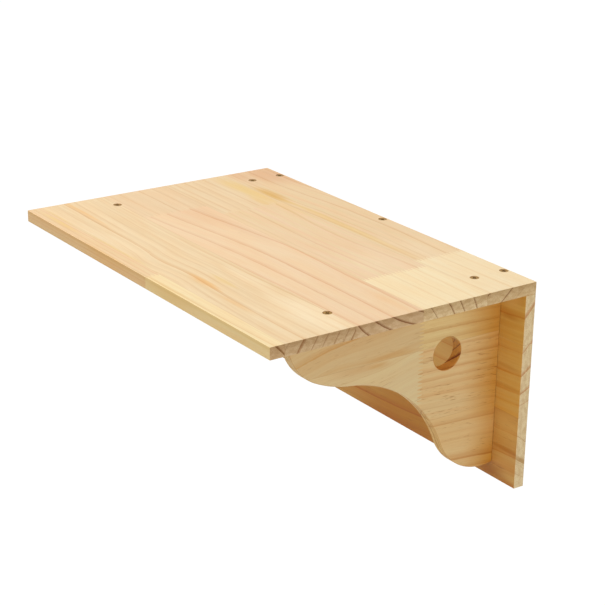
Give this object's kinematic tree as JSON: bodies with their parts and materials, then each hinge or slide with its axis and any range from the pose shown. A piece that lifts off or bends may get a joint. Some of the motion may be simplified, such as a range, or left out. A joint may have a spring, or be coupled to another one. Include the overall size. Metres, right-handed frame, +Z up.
{
  "type": "cat wall platform",
  "caption": "Wooden wall shelf for a cat: a flat top board and a back board joined by two scrolled brackets with a round hole, made of edge-glued, finger-jointed panel.",
  "frame": {"origin": "centre of the back board's rear face, which lies on the wall, and centre of the pattern of wall screw holes", "axes": "+Z up, the shelf stands out from the wall along -Y, +Y into the wall, +X along the wall to the right seen from the front"},
  "size_m": [0.45, 0.3, 0.212],
  "materials": {
    "top_board_wood": "planed and sanded, bare or clear matt",
    "back_board_wood": "planed and sanded, bare or clear matt",
    "bracket_wood": "planed and sanded, bare or clear matt",
    "screw_metal": "yellow zinc plated"
  },
  "bodies": {
    "root": {"top_stave_1_left": "top_board_wood", "top_stave_1_right": "top_board_wood", "top_stave_2_left": "top_board_wood", "top_stave_2_middle": "top_board_wood", "top_stave_2_right": "top_board_wood", "top_stave_3_left": "top_board_wood", "top_stave_3_right": "top_board_wood", "top_stave_4": "top_board_wood", "top_stave_5_left": "top_board_wood", "top_stave_5_right": "top_board_wood", "back_stave_1_left": "back_board_wood", "back_stave_1_right": "back_board_wood", "back_stave_2_left": "back_board_wood", "back_stave_2_right": "back_board_wood", "back_stave_3_left": "back_board_wood", "back_stave_3_right": "back_board_wood", "left_bracket_stave_1_front": "bracket_wood", "left_bracket_stave_1_rear": "bracket_wood", "left_bracket_stave_2_front": "bracket_wood", "left_bracket_stave_2_rear": "bracket_wood", "left_bracket_stave_3": "bracket_wood", "right_bracket_stave_1_front": "bracket_wood", "right_bracket_stave_1_rear": "bracket_wood", "right_bracket_stave_2_front": "bracket_wood", "right_bracket_stave_2_rear": "bracket_wood", "right_bracket_stave_3": "bracket_wood", "bracket_top_screws": "screw_metal", "back_board_top_screws": "screw_metal", "bracket_rear_screws": "screw_metal"}
  },
  "joints": []
}
